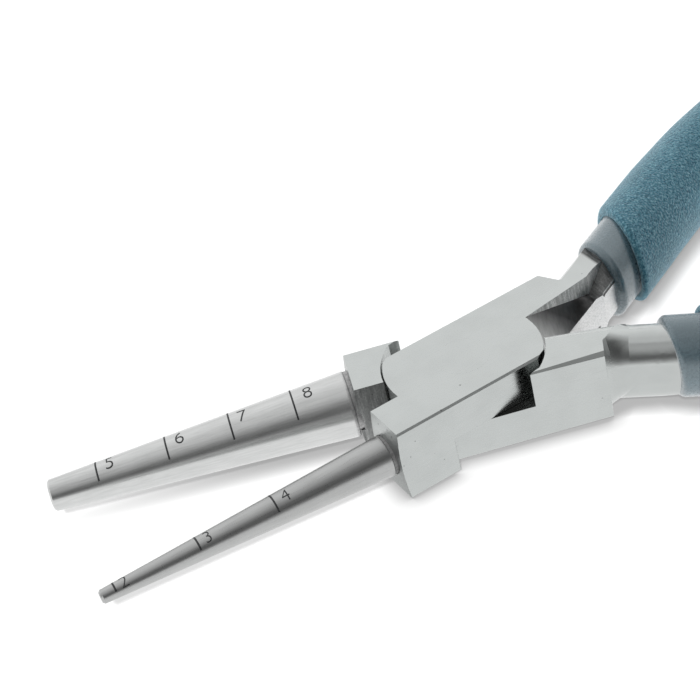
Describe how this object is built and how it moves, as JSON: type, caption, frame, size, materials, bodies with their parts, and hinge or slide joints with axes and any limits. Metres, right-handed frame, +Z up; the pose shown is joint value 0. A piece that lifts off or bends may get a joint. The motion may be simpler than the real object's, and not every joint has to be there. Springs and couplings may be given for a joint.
{
  "type": "wire looping pliers",
  "caption": "Lap-joint pliers with tapered round jaws marked in loop sizes, a flush pivot rivet, and bowed handles in dipped sleeves and foam grips.",
  "frame": {"origin": "on the pivot axis, on the flat underside of the joint", "axes": "+Z up through the joint along the pivot; +X back along the lower lever's strip towards the handles; the jaws point to -X"},
  "size_m": [0.1695, 0.0894, 0.0135],
  "materials": {
    "lever_steel": "satin ground faces, brushed inner walls, polished handle roots",
    "jaw_steel": "finely turned and polished",
    "rivet_steel": "ground flush with the plates",
    "dipped_sleeve": "smooth dipped vinyl, semi-gloss grey blue",
    "foam": "fine closed-cell foam, matt teal blue"
  },
  "bodies": {
    "lower_half": {"lower_lever": "lever_steel", "large_round_jaw": "jaw_steel", "pivot_rivet": "rivet_steel", "lower_handle_sleeve": "dipped_sleeve", "lower_foam_grip": "foam"},
    "upper_half": {"upper_lever": "lever_steel", "small_round_jaw": "jaw_steel", "upper_handle_sleeve": "dipped_sleeve", "upper_foam_grip": "foam"}
  },
  "joints": [
    {"name": "pivot", "type": "hinge", "parent": "lower_half", "child": "upper_half", "pos_m": [0, 0, 0], "axis": [0, 0, 1], "range_deg": [-19.2, 66]}
  ]
}
